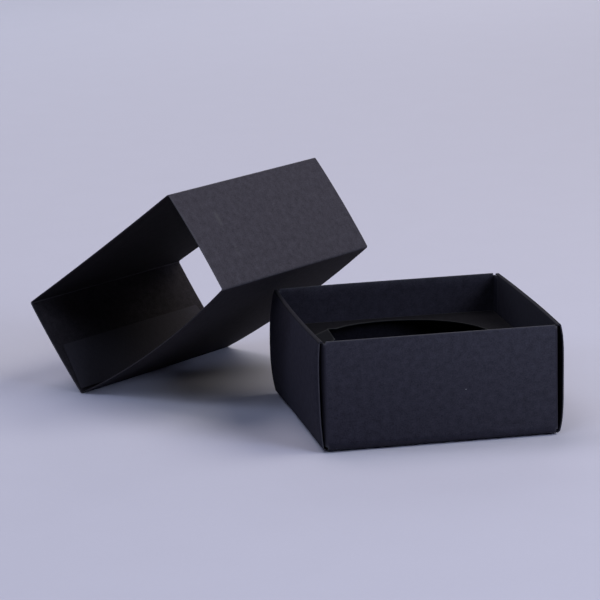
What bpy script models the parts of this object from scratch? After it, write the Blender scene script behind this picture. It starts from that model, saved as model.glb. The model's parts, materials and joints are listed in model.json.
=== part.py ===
"""Sliding presentation box: a folded card tray with a raised insert, and its open-ended card sleeve.

The box is three folded blanks. Each panel between two creases is one object, and a panel that turns
on a crease hangs from an empty on that crease. The tray stands on z = 0 round the origin, with X
along its front wall and Y towards its rear wall. The sleeve is off the tray: it stands on one long
edge and leans on the tray's rear left corner.
"""

import math

import bmesh
import bpy
from mathutils import Matrix, Vector

# Tray
TRAY_WIDTH = 0.085
TRAY_DEPTH = 0.085
TRAY_HEIGHT = 0.039

# Card, and the clearances that folded card needs
CARD = 0.0004
LAYER_GAP = 0.0002
CREASE_GAP = 0.0002
SEAT_GAP = 0.0003

# Folds of the tray, by the radius of their outer face
BOTTOM_FOLD = 0.0010
END_FOLD = 0.0008
END_INSET = 0.0004
RIM_FOLD = 0.0005
FOLD_RELIEF = 0.0003

# Relaxed shape of the side walls, which lean outwards and spring further between their ends
SIDE_LEAN = 0.0005
SIDE_BOW = 0.0009
SIDE_BULGE = 0.0015

# Room that the inner panels of the side walls leave at each corner for the folds of the end walls
INNER_END_ROOM = 0.0030

# Corner tabs, which the end walls send back into the hollow side walls
CORNER_TAB_LENGTH = 0.024
CORNER_TAB_TOP_FALL = 0.005
CORNER_TAB_BOTTOM_RISE = 0.002

# Lock tabs, which hold the foot of each rolled side wall in the base
LOCK_TAB_WIDTH = 0.012
LOCK_TAB_SPACING = 0.044

# Insert: a platform on two folded legs
PLATFORM_DROP = 0.0137
PLATFORM_FOLD = 0.0006
LEG_SHOULDER = 0.0006
LEG_TAPER = 0.003
HOLE_LEFT_MARGIN = 0.0041
HOLE_RIGHT_MARGIN = 0.0091
HOLE_FRONT_MARGIN = 0.0108
HOLE_REAR_MARGIN = 0.0048

# Thumb tab, cut from the rim of the hole and bent down on its own crease
THUMB_TAB_LENGTH = 0.0043
THUMB_CREASE_WIDTH = 0.0142
THUMB_TIP_WIDTH = 0.0185
THUMB_SETBACK = 0.0015
THUMB_TAB_BEARING = math.radians(140)
THUMB_TAB_BEND = math.radians(70)

# Sleeve: a tube round the tray, open at both ends
SLEEVE_CLEARANCE = 0.0003
SLEEVE_FOLD = 0.0008
SLEEVE_NEAR_SAG = 0.0030
SLEEVE_FAR_SAG = 0.0021
SLEEVE_SWELL = 0.0005
SLEEVE_SINK = 0.0004
SLEEVE_RACK = math.radians(2.8)
GLUE_FLAP_WIDTH = 0.0196
GLUE_FLAP_START = 0.0010
GLUE_FLAP_END_INSET = 0.0006
GLUE_FLAP_TAPER = 0.0034

# Where the sleeve leans: its foot, measured from the tray's rear left corner, and its heading
SLEEVE_FOOT_LEFT = 0.0713
SLEEVE_FOOT_BEHIND = 0.0185
SLEEVE_HEADING = math.radians(40.4)

# Overrun of the cutters past the card
CUT_OVERRUN = 0.002

# Steps of curved shapes
FOLD_STEPS = 8
HOLE_STEPS = 96
BOW_STEPS = 12
HEIGHT_STEPS = 8
TAB_STEPS = 4

# Sizes that follow from those above
SIDE_WALL = 3 * CARD + 2 * LAYER_GAP
POCKET_FACE = TRAY_WIDTH / 2 - CARD - LAYER_GAP
INNER_FACE = TRAY_WIDTH / 2 - SIDE_WALL
SIDE_HALF_LENGTH = TRAY_DEPTH / 2 - CARD - SEAT_GAP
INNER_HALF_LENGTH = SIDE_HALF_LENGTH - INNER_END_ROOM
BASE_HALF_WIDTH = TRAY_WIDTH / 2 - BOTTOM_FOLD - CREASE_GAP
BASE_HALF_DEPTH = TRAY_DEPTH / 2 - BOTTOM_FOLD - CREASE_GAP
TAB_FOOT = BOTTOM_FOLD + FOLD_RELIEF
TAB_HEAD = TRAY_HEIGHT - CARD - SEAT_GAP
PLATFORM_TOP = TRAY_HEIGHT - PLATFORM_DROP
PLATFORM_HALF_WIDTH = INNER_FACE - SEAT_GAP
PLATFORM_HALF_DEPTH = TRAY_DEPTH / 2 - CARD - SEAT_GAP
LEG_TOP = PLATFORM_TOP - PLATFORM_FOLD - CREASE_GAP
LEG_FOOT = CARD + SEAT_GAP
HOLE_ROOM_ACROSS = 2 * PLATFORM_HALF_WIDTH - HOLE_LEFT_MARGIN - HOLE_RIGHT_MARGIN
HOLE_ROOM_DEEP = 2 * PLATFORM_HALF_DEPTH - HOLE_FRONT_MARGIN - HOLE_REAR_MARGIN
HOLE_RADIUS = min(HOLE_ROOM_ACROSS, HOLE_ROOM_DEEP) / 2
HOLE_X = -PLATFORM_HALF_WIDTH + HOLE_LEFT_MARGIN + HOLE_RADIUS
HOLE_Y = PLATFORM_HALF_DEPTH - HOLE_REAR_MARGIN - HOLE_RADIUS
CREASE_RADIUS = HOLE_RADIUS + THUMB_SETBACK
SLEEVE_LENGTH = TRAY_DEPTH
SLEEVE_WIDTH = TRAY_WIDTH + 2 * (SLEEVE_CLEARANCE + CARD)
SLEEVE_HEIGHT = TRAY_HEIGHT + 2 * (SLEEVE_CLEARANCE + CARD)
NARROW_FOOT = SLEEVE_FOLD + CREASE_GAP
NARROW_HEAD = SLEEVE_HEIGHT - SLEEVE_FOLD - CREASE_GAP


def clear_scene():
    for old in list(bpy.data.objects):
        bpy.data.objects.remove(old, do_unlink=True)


def card_material(name, colour, roughness):
    material = bpy.data.materials.new(name)
    material.use_nodes = True
    shader = material.node_tree.nodes["Principled BSDF"]
    shader.inputs["Base Color"].default_value = (*colour, 1.0)
    shader.inputs["Roughness"].default_value = roughness
    shader.inputs["Metallic"].default_value = 0.0
    material.diffuse_color = (*colour, 1.0)
    return material


def steps_between(low, high, count):
    """Evenly spaced values from low to high, both included."""
    return [low + (high - low) * step / count for step in range(count + 1)]


def fold_arc(centre, radius, start, end):
    """Points of a fold's outer face, from the start angle to the end angle."""
    return [
        Vector((centre[0] + radius * math.cos(angle), centre[1] + radius * math.sin(angle)))
        for angle in steps_between(start, end, FOLD_STEPS)
    ]


def add_object(name, mesh, material=None, parent=None):
    made = bpy.data.objects.new(name, mesh)
    bpy.context.scene.collection.objects.link(made)
    made.parent = parent
    if material:
        mesh.materials.append(material)
    return made


def add_crease(name, location, parent=None, axis=None, turn=0.0):
    """An empty on a crease: what hangs from it turns about the crease."""
    crease = add_object(name, None, parent=parent)
    rotation = Matrix.Rotation(turn, 4, axis) if axis else Matrix.Identity(4)
    crease.matrix_local = Matrix.Translation(location) @ rotation
    return crease


def card_panel(name, columns, rows, place, facing, material, parent=None, keep=None):
    """One panel of card, from a grid of points on the face that looks the way of facing.

    place(column, row) gives a point, and keep(column, row) says of a cell, by the middle of its
    columns and rows, whether the card is there. Solidify gives the sheet the card's thickness,
    away from that face.
    """
    sheet = bmesh.new()
    points = [[sheet.verts.new(place(column, row)) for row in rows] for column in columns]
    for i in range(len(columns) - 1):
        for j in range(len(rows) - 1):
            middle = (columns[i] + columns[i + 1]) / 2, (rows[j] + rows[j + 1]) / 2
            if keep is None or keep(*middle):
                sheet.faces.new([points[i][j], points[i + 1][j], points[i + 1][j + 1], points[i][j + 1]])
    bmesh.ops.delete(sheet, geom=[v for v in sheet.verts if not v.link_faces], context="VERTS")
    sheet.normal_update()
    looks = sum((face.normal * face.calc_area() for face in sheet.faces), Vector())
    if looks.dot(Vector(facing)) < 0:
        bmesh.ops.reverse_faces(sheet, faces=sheet.faces[:])
    mesh = bpy.data.meshes.new(name)
    sheet.to_mesh(mesh)
    sheet.free()
    panel = add_object(name, mesh, material, parent)
    board = panel.modifiers.new("board", "SOLIDIFY")
    board.thickness = CARD
    board.offset = -1
    board.use_even_offset = True
    mesh.shade_smooth()
    mesh.set_sharp_from_angle(angle=math.radians(30))
    return panel


def add_cutter(name, outline, low, high, parent=None):
    """An upright prism over an outline of (x, y) points, for cutting card that lies flat."""
    prism = bmesh.new()
    floor = prism.faces.new([prism.verts.new((x, y, low)) for x, y in outline])
    raised = bmesh.ops.extrude_face_region(prism, geom=[floor])["geom"]
    bmesh.ops.translate(
        prism, vec=(0, 0, high - low), verts=[v for v in raised if isinstance(v, bmesh.types.BMVert)]
    )
    bmesh.ops.recalc_face_normals(prism, faces=prism.faces[:])
    mesh = bpy.data.meshes.new(name)
    prism.to_mesh(mesh)
    prism.free()
    cutter = add_object(name, mesh, parent=parent)
    cutter.hide_render = True
    cutter.display_type = "WIRE"
    return cutter


def cut(panel, cutter):
    hole = panel.modifiers.new(cutter.name, "BOOLEAN")
    hole.operation = "DIFFERENCE"
    hole.solver = "EXACT"
    hole.object = cutter


def side_bow(y, z):
    """How far a side wall stands out at a point: most at the middle of its rim, nothing at its foot."""
    along = 1 - (2 * y / TRAY_DEPTH) ** 2
    return (SIDE_LEAN + SIDE_BOW * along) * z / TRAY_HEIGHT


def side_bulge(z):
    """How far the outer panel of a side wall swells off the inner one at a height."""
    share = (z - BOTTOM_FOLD) / (TRAY_HEIGHT - RIM_FOLD - BOTTOM_FOLD)
    return SIDE_BULGE * 4 * share * (1 - share) if 0 < share < 1 else 0.0


def in_lock_tab(y, clearance=0.0):
    return abs(abs(y) - LOCK_TAB_SPACING / 2) < LOCK_TAB_WIDTH / 2 + clearance


def lock_tab_ends(clearance=0.0):
    """The y of both sides of each lock tab or, with a clearance, of each notch for one."""
    reach = LOCK_TAB_WIDTH / 2 + clearance
    return [side * LOCK_TAB_SPACING / 2 + end * reach for side in (-1, 1) for end in (-1, 1)]


def make_base(card, tray):
    """The floor of the tray, with notches at its sides for the lock tabs."""
    notch = INNER_FACE - SEAT_GAP
    columns = [-BASE_HALF_WIDTH, -notch, notch, BASE_HALF_WIDTH]
    rows = sorted([-BASE_HALF_DEPTH, *lock_tab_ends(SEAT_GAP), BASE_HALF_DEPTH])
    return card_panel(
        "tray_base",
        columns,
        rows,
        lambda x, y: (x, y, 0),
        (0, 0, -1),
        card,
        tray,
        keep=lambda x, y: abs(x) < notch or not in_lock_tab(y, SEAT_GAP),
    )


def make_end_wall(name, card, tray, turn):
    """The front or rear wall: a soft fold at its foot, and a fold back into the side at each end."""
    corner = POCKET_FACE - END_INSET - END_FOLD
    plan = fold_arc((corner, END_FOLD), END_FOLD, -math.pi / 2, 0)
    ends = [Vector((x, inset)) for x, inset in plan]
    plan = [Vector((-x, inset)) for x, inset in reversed(ends)] + ends
    foot = fold_arc((BOTTOM_FOLD, BOTTOM_FOLD), BOTTOM_FOLD, -math.pi / 2, -math.pi)
    rise = [*foot, *(Vector((0, z)) for z in (TAB_FOOT, TAB_HEAD, TRAY_HEIGHT))]
    columns = list(range(len(plan)))
    rows = list(range(len(rise)))

    def place(column, row):
        x, end_inset = plan[column]
        foot_inset, z = rise[row]
        return (x, -TRAY_DEPTH / 2 + end_inset + foot_inset, z)

    def keep(column, row):
        in_end_fold = not FOLD_STEPS < column < FOLD_STEPS + 1
        beside_tab = FOLD_STEPS + 1 < row < FOLD_STEPS + 2
        return beside_tab or not in_end_fold

    wall = card_panel(name, columns, rows, place, (0, -1, 0), card, tray, keep)
    wall.rotation_euler.z = turn
    return wall


def make_corner_tab(name, card, tray, side, turn):
    """A tapered tab, which bends from the end wall's fold to between the two layers of a side wall."""
    front = -TRAY_DEPTH / 2 + END_FOLD + CREASE_GAP
    pocket = -INNER_HALF_LENGTH - SEAT_GAP

    def place(y, height_share):
        along = (y - front) / CORNER_TAB_LENGTH
        low = TAB_FOOT + CORNER_TAB_BOTTOM_RISE * along
        high = TAB_HEAD - CORNER_TAB_TOP_FALL * along
        z = low + (high - low) * height_share
        bend = min((y - front) / (pocket - front), 1)
        return (side * (POCKET_FACE + bend * side_bow(y, z) - (1 - bend) * END_INSET), y, z)

    columns = [front, *steps_between(pocket, front + CORNER_TAB_LENGTH, TAB_STEPS)]
    tab = card_panel(name, columns, steps_between(0, 1, TAB_STEPS), place, (side, 0, 0), card, tray)
    tab.rotation_euler.z = turn
    return tab


def make_side(side_name, card, tray, turn):
    """A rolled side wall: an outer panel, a narrow rim strip and an inner panel with lock tabs."""
    lengthwise = steps_between(-SIDE_HALF_LENGTH, SIDE_HALF_LENGTH, BOW_STEPS)
    outer_x = TRAY_WIDTH / 2
    strip_foot = TRAY_HEIGHT - RIM_FOLD

    foot_centre = (outer_x - BOTTOM_FOLD, BOTTOM_FOLD)
    foot = fold_arc(foot_centre, BOTTOM_FOLD, -math.pi / 2, 0)
    heights = steps_between(BOTTOM_FOLD, strip_foot - CREASE_GAP, HEIGHT_STEPS)[1:]
    outer = [*foot, *(Vector((outer_x, z)) for z in heights)]
    rim = [
        *fold_arc((outer_x - RIM_FOLD, strip_foot), RIM_FOLD, 0, math.pi / 2),
        *fold_arc((INNER_FACE + RIM_FOLD, strip_foot), RIM_FOLD, math.pi / 2, math.pi),
    ]

    def place_outer(y, row):
        x, z = outer[row]
        return (x + side_bow(y, z) + side_bulge(z), y, z)

    def place_rim(y, row):
        x, z = rim[row]
        return (x + side_bow(y, z), y, z)

    def place_inner(y, z):
        return (INNER_FACE + side_bow(y, z), y, z)

    made = [
        card_panel(
            f"tray_{side_name}_outer_wall",
            lengthwise,
            list(range(len(outer))),
            place_outer,
            (1, 0, 0),
            card,
            tray,
        ),
        card_panel(
            f"tray_{side_name}_rim_strip", lengthwise, list(range(len(rim))), place_rim, (0, 0, 1), card, tray
        ),
        card_panel(
            f"tray_{side_name}_inner_wall",
            sorted([*steps_between(-INNER_HALF_LENGTH, INNER_HALF_LENGTH, BOW_STEPS), *lock_tab_ends()]),
            [0, *steps_between(CARD + SEAT_GAP, strip_foot - CREASE_GAP, HEIGHT_STEPS)],
            place_inner,
            (-1, 0, 0),
            card,
            tray,
            keep=lambda y, z: z > CARD + SEAT_GAP or in_lock_tab(y),
        ),
    ]
    for panel in made:
        panel.rotation_euler.z = turn
    return made


def make_tray():
    card = card_material("tray_card", (0.033, 0.035, 0.042), 0.82)
    tray = add_crease("tray", (0, 0, 0))
    make_base(card, tray)
    for end_name, turn in (("front", 0.0), ("rear", math.pi)):
        make_end_wall(f"tray_{end_name}_wall", card, tray, turn)
    for end_name, side_name, side, turn in (
        ("front", "left", -1, 0.0),
        ("front", "right", 1, 0.0),
        ("rear", "left", 1, math.pi),
        ("rear", "right", -1, math.pi),
    ):
        make_corner_tab(f"tray_{end_name}_{side_name}_corner_tab", card, tray, side, turn)
    for side_name, turn in (("right", 0.0), ("left", math.pi)):
        make_side(side_name, card, tray, turn)


def thumb_point(outwards, along):
    """A point of the platform by its distance out from the hole's centre and its place along the rim."""
    out = Vector((math.cos(THUMB_TAB_BEARING), math.sin(THUMB_TAB_BEARING)))
    sideways = Vector((-out.y, out.x))
    return Vector((HOLE_X, HOLE_Y)) + out * outwards + sideways * along


def make_platform(card, insert):
    """The raised platform, with the folds to its legs, the round hole and the thumb notch."""
    side = PLATFORM_HALF_WIDTH
    centre_z = PLATFORM_TOP - PLATFORM_FOLD
    right = fold_arc((side - PLATFORM_FOLD, centre_z), PLATFORM_FOLD, math.pi / 2, 0)
    left = [Vector((-x, z)) for x, z in reversed(right)]
    section = left + right
    platform = card_panel(
        "insert_platform",
        list(range(len(section))),
        [-PLATFORM_HALF_DEPTH, PLATFORM_HALF_DEPTH],
        lambda column, y: (section[column].x, y, section[column].y),
        (0, 0, 1),
        card,
        insert,
    )
    low = PLATFORM_TOP - CARD - CUT_OVERRUN
    high = PLATFORM_TOP + CUT_OVERRUN
    turns = [2 * math.pi * step / HOLE_STEPS for step in range(HOLE_STEPS)]
    circle = [(HOLE_X + HOLE_RADIUS * math.cos(a), HOLE_Y + HOLE_RADIUS * math.sin(a)) for a in turns]
    cut(platform, add_cutter("hole_cutter", circle, low, high, insert))
    splay = (THUMB_TIP_WIDTH - THUMB_CREASE_WIDTH) / 2 / THUMB_TAB_LENGTH
    root = THUMB_CREASE_WIDTH / 2 + CREASE_GAP
    reach = CREASE_RADIUS - HOLE_RADIUS / 2
    mouth = root + splay * reach
    notch = [
        thumb_point(outwards, along)
        for outwards, along in (
            (CREASE_RADIUS, -root),
            (CREASE_RADIUS, root),
            (CREASE_RADIUS - reach, mouth),
            (CREASE_RADIUS - reach, -mouth),
        )
    ]
    cut(platform, add_cutter("thumb_notch_cutter", notch, low, high, insert))
    return platform


def make_leg(name, card, insert, side):
    """A leg of the insert, which turns inwards on its crease under the platform's edge."""
    crease = add_crease(
        f"{name}_crease", (side * (PLATFORM_HALF_WIDTH - CARD), 0, LEG_TOP + CREASE_GAP / 2), insert
    )
    drop = LEG_TOP - LEG_FOOT

    def place(y_share, depth):
        half = PLATFORM_HALF_DEPTH - LEG_SHOULDER - LEG_TAPER * depth / drop
        return (side * CARD, y_share * half, -CREASE_GAP / 2 - depth)

    return card_panel(name, [-1, 1], [0, drop], place, (side, 0, 0), card, crease)


def make_thumb_tab(card, insert):
    """The tab from the rim of the hole: widest at its tip, and bent down into the hole."""
    root = thumb_point(CREASE_RADIUS, 0)
    crease = add_crease("thumb_tab_crease", (root.x, root.y, PLATFORM_TOP - CARD), insert)
    crease.rotation_euler = (0, THUMB_TAB_BEND, THUMB_TAB_BEARING + math.pi)
    tip = CREASE_GAP + THUMB_TAB_LENGTH
    splay = (THUMB_TIP_WIDTH - THUMB_CREASE_WIDTH) / 2 / THUMB_TAB_LENGTH

    def place(reach, side):
        return (reach, side * (THUMB_CREASE_WIDTH / 2 + splay * (reach - CREASE_GAP)), CARD)

    return card_panel("insert_thumb_tab", [CREASE_GAP, tip], [-1, 1], place, (0, 0, 1), card, crease)


def make_insert():
    card = card_material("insert_card", (0.030, 0.031, 0.036), 0.85)
    insert = add_crease("insert", (0, 0, 0))
    make_platform(card, insert)
    for side_name, side in (("left", -1), ("right", 1)):
        make_leg(f"insert_{side_name}_leg", card, insert, side)
    make_thumb_tab(card, insert)


def sleeve_sag(x, y):
    """How far the sleeve's lower panel sags out of its plane, more at the near opening."""
    share = (x - SLEEVE_FOLD) / (SLEEVE_WIDTH - 2 * SLEEVE_FOLD)
    depth = SLEEVE_NEAR_SAG + (SLEEVE_FAR_SAG - SLEEVE_NEAR_SAG) * y / SLEEVE_LENGTH
    return depth * 4 * share * (1 - share) if 0 < share < 1 else 0.0


def sleeve_sink(x, y):
    """How far the sleeve's top panel lies inside its plane, as a sag outwards: less than nothing."""
    share = (x - SLEEVE_FOLD) / (SLEEVE_WIDTH - 2 * SLEEVE_FOLD)
    return -SLEEVE_SINK * 4 * share * (1 - share) if 0 < share < 1 else 0.0


def sleeve_swell(depth):
    """How far a narrow panel of the sleeve swells outwards at a distance from its lower crease."""
    share = depth / (NARROW_HEAD - NARROW_FOOT)
    return SLEEVE_SWELL * 4 * share * (1 - share)


def sleeve_stance():
    """The sleeve's lean and the height of its sharp lower corner, for the rounded one to stand on z = 0.

    The sagging lower panel just clears the rear end of the left rim fold, which it leans on.
    """
    heading = Vector((math.cos(SLEEVE_HEADING), math.sin(SLEEVE_HEADING)))
    across = Vector((heading.y, -heading.x))
    rim_end = Vector((SLEEVE_FOOT_LEFT - SIDE_LEAN + RIM_FOLD, SIDE_HALF_LENGTH - TRAY_DEPTH / 2))
    rim_end.y -= SLEEVE_FOOT_BEHIND
    run = rim_end.dot(across)
    along = rim_end.dot(heading)
    lean = math.atan2(TRAY_HEIGHT, run)
    for _ in range(8):
        foot_z = SLEEVE_FOLD * (1 - math.sin(lean) - math.cos(lean))
        rise = TRAY_HEIGHT - RIM_FOLD - foot_z
        reach = run * math.cos(lean) + rise * math.sin(lean)
        stand_off = sleeve_sag(reach, along) + SEAT_GAP + RIM_FOLD
        lean = math.atan2(rise, run) + math.asin(stand_off / math.hypot(run, rise))
    return lean, foot_z


def make_wide_panel(name, card, parent, sag, origin=(0, 0), turned=False):
    """A wide panel of the sleeve, with the folds to both narrow panels at its ends."""
    first = fold_arc((SLEEVE_FOLD, SLEEVE_FOLD), SLEEVE_FOLD, math.pi, 3 * math.pi / 2)
    last = [Vector((SLEEVE_WIDTH - x, z)) for x, z in reversed(first)]
    middle = steps_between(SLEEVE_FOLD, SLEEVE_WIDTH - SLEEVE_FOLD, BOW_STEPS)[1:-1]
    section = first + [Vector((x, 0)) for x in middle] + last

    def place(column, y):
        x, z = section[column]
        z -= sag(x, y)
        if turned:
            z = SLEEVE_HEIGHT - z
        return (x - origin[0], y, z - origin[1])

    return card_panel(
        name,
        list(range(len(section))),
        steps_between(0, SLEEVE_LENGTH, HEIGHT_STEPS),
        place,
        (0, 0, 1 if turned else -1),
        card,
        parent,
    )


def make_narrow_panel(name, card, crease, outer_x, facing):
    """A narrow panel of the sleeve, standing on its crease."""
    return card_panel(
        name,
        [0, SLEEVE_LENGTH],
        steps_between(0, NARROW_HEAD - NARROW_FOOT, HEIGHT_STEPS),
        lambda y, depth: (outer_x + facing * sleeve_swell(depth), y, CREASE_GAP / 2 + depth),
        (facing, 0, 0),
        card,
        crease,
    )


def make_glue_flap(card, crease):
    """The flap inside the left narrow panel, which closes the tube; its ends are cut back."""
    layer = CARD + LAYER_GAP

    def place(side, reach):
        inset = GLUE_FLAP_END_INSET + GLUE_FLAP_TAPER * reach / GLUE_FLAP_WIDTH
        y = inset if side == 0 else SLEEVE_LENGTH - inset
        return (layer - sleeve_swell(reach - CREASE_GAP / 2), y, reach)

    rows = steps_between(GLUE_FLAP_START, GLUE_FLAP_WIDTH, TAB_STEPS)
    return card_panel("sleeve_glue_flap", [0, 1], rows, place, (1, 0, 0), card, crease)


def make_sleeve():
    card = card_material("sleeve_card", (0.036, 0.037, 0.043), 0.80)
    lean, foot_z = sleeve_stance()
    foot = Vector((-TRAY_WIDTH / 2 - SLEEVE_FOOT_LEFT, TRAY_DEPTH / 2 + SLEEVE_FOOT_BEHIND, foot_z))
    sleeve = add_crease("sleeve", foot)
    sleeve.rotation_euler = (0, -lean, SLEEVE_HEADING - math.pi / 2)
    make_wide_panel("sleeve_lower_panel", card, sleeve, sleeve_sag)

    low = NARROW_FOOT - CREASE_GAP / 2
    narrow = NARROW_HEAD - NARROW_FOOT + CREASE_GAP
    left = add_crease("sleeve_left_crease", (CARD, 0, low), sleeve, "Y", -SLEEVE_RACK)
    make_narrow_panel("sleeve_left_panel", card, left, -CARD, -1)
    make_glue_flap(card, left)
    right = add_crease("sleeve_right_crease", (SLEEVE_WIDTH, 0, low), sleeve, "Y", -SLEEVE_RACK)
    make_narrow_panel("sleeve_right_panel", card, right, 0.0, 1)
    top = add_crease("sleeve_top_crease", (-CARD, 0, narrow), left, "Y", SLEEVE_RACK)
    make_wide_panel("sleeve_top_panel", card, top, sleeve_sink, origin=(0, low + narrow), turned=True)


clear_scene()
make_tray()
make_insert()
make_sleeve()
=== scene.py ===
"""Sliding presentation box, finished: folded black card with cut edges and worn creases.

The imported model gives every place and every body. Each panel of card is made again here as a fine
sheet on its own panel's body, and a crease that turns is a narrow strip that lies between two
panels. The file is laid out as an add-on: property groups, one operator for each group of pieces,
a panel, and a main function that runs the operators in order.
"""
import json
import math

import bmesh
import bpy
from bpy.props import FloatProperty, FloatVectorProperty, IntProperty, PointerProperty
from mathutils import Matrix, Vector
from mathutils.kdtree import KDTree


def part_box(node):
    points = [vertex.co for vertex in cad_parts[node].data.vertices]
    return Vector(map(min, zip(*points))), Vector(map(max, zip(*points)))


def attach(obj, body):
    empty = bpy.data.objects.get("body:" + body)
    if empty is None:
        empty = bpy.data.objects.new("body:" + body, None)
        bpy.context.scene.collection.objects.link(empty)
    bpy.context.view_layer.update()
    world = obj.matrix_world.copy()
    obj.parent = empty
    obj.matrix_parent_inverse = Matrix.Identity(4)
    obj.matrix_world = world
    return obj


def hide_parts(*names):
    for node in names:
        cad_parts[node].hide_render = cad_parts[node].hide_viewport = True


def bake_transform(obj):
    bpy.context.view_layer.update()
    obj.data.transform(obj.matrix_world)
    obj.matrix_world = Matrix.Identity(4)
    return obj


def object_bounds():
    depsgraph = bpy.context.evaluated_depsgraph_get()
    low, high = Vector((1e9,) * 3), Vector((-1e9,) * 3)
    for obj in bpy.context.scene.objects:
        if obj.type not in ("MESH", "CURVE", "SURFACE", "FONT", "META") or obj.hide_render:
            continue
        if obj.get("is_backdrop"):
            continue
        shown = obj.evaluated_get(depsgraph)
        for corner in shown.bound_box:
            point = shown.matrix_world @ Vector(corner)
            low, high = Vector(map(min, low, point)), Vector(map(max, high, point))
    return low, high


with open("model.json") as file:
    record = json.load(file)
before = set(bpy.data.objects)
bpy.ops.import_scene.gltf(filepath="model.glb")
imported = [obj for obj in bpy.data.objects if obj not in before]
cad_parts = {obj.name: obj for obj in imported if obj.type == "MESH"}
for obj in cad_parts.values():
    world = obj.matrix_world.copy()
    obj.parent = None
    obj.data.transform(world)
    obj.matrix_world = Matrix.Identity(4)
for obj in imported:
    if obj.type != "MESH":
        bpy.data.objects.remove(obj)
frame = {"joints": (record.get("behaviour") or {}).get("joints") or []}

bl_info = {
    "name": "Sliding presentation box",
    "version": (1, 0, 0),
    "blender": (4, 5, 0),
    "location": "View3D > Sidebar > Presentation box",
    "description": "Tray, insert and sleeve of a sliding presentation box, on a studio floor",
    "category": "Object",
}

CAD_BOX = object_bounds()
JOINTS = {joint["name"]: joint for joint in frame["joints"]}
FRONT_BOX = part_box("tray_front_wall")
PLATFORM_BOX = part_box("insert_platform")
LEG_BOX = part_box("insert_left_leg")
OUTER_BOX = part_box("tray_right_outer_wall")


def number(name, description, default, **more):
    """A number among the properties."""
    return FloatProperty(name=name, description=description, default=default, **more)


def length(name, description, default):
    """A length among the properties, in metres."""
    return number(name, description, default, unit="LENGTH", precision=5)


def angle(name, description, degrees):
    """An angle among the properties."""
    return number(name, description, math.radians(degrees), subtype="ANGLE")


def colour(name, description, default):
    """A colour among the properties, as red, green and blue reflectance."""
    return FloatVectorProperty(
        name=name, description=description, default=default, subtype="COLOR", min=0.0, max=1.0
    )


def share(name, description, default):
    """A number from 0 to 1 among the properties."""
    return number(name, description, default, min=0.0, max=1.0)


class BoardProperties(bpy.types.PropertyGroup):
    """The card that all three blanks are cut from."""

    thickness: length("Thickness", "Thickness of the card", 0.0004)
    layer_gap: length("Layer gap", "Air between two layers of folded card", 0.0002)
    crease_gap: length("Crease room", "Room that a panel leaves at a crease in the model", 0.0002)
    seat_gap: length("Seat gap", "Clearance of a panel that seats against another", 0.0003)
    edge_round: length("Edge round", "Rounding of the cut edges", 0.00007)
    bead: length("Crease bead", "Height of the ridge that creasing raises inside a fold", 0.00012)
    cell: length("Grid", "Spacing of the sheet's grid on flat card", 0.0020)
    worn_width: length("Worn width", "How far the wear of a cut edge reaches into the face", 0.0009)
    fold_steps: IntProperty(name="Fold steps", description="Facets round a fold", default=8, min=2)


class TrayProperties(bpy.types.PropertyGroup):
    """The folded tray with its rolled side walls."""

    height: length("Height", "Height of the walls", FRONT_BOX[1].z)
    depth: length("Depth", "Front to rear over the end walls", -2 * FRONT_BOX[0].y)
    half_front: length("Half front", "Half width over the end walls' end folds", FRONT_BOX[1].x)
    inset: length("End inset", "How far those folds lie inside the corner tabs' pockets", 0.0004)
    bottom_fold: length("Bottom fold", "Outer radius of the folds at the floor", 0.0012)
    end_fold: length("End fold", "Outer radius of the folds at the ends of the end walls", 0.0008)
    rim_fold: length("Rim fold", "Outer radius of the two folds of a side wall's rim", 0.0005)
    fold_relief: length("Fold relief", "Card cut away under an end fold", 0.0003)
    lean: length("Side lean", "How far a side wall leans outwards at its rim", 0.0005)
    bow: length("Side bow", "How much further it stands out at the middle of its rim", 0.0009)
    bulge: length("Side swell", "How far a side wall's outer panel swells at mid height", 0.0015)
    end_room: length("End room", "Room that the inner panels leave for the end folds", 0.0030)
    tab_length: length("Corner tab", "Length of the corner tabs", 0.024)
    tab_fall: length("Tab taper above", "Fall of a corner tab's upper edge", 0.005)
    tab_rise: length("Tab taper below", "Rise of a corner tab's lower edge", 0.002)
    lock_width: length("Lock tab", "Width of the lock tabs", 0.012)
    lock_spacing: length("Lock tab spacing", "Distance between the two lock tabs of a side", 0.044)
    dish: length("End wall dish", "How far an end wall is drawn in at its middle", 0.00018)
    rear_rise: length("Rear rise", "How much higher the rear right corner stands", 0.00035)
    rear_reach: length("Rear reach", "How far that rise reaches along its two walls", 0.035)
    left_fullness: number("Left fullness", "How square the left swell is", 2.5)
    right_fullness: number("Right fullness", "How square the right swell is", 5.0)
    left_curl: share("Left end curl", "Share of its swell that the left front end loses", 0.55)
    right_curl: share("Right end curl", "Share of its swell that the right front end loses", 0.30)
    curl_reach: length("End curl reach", "How far from its front end a panel curls in", 0.004)
    flare: length("Left flare", "How far the left outer panel stands out at its rear foot", 0.0011)


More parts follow.
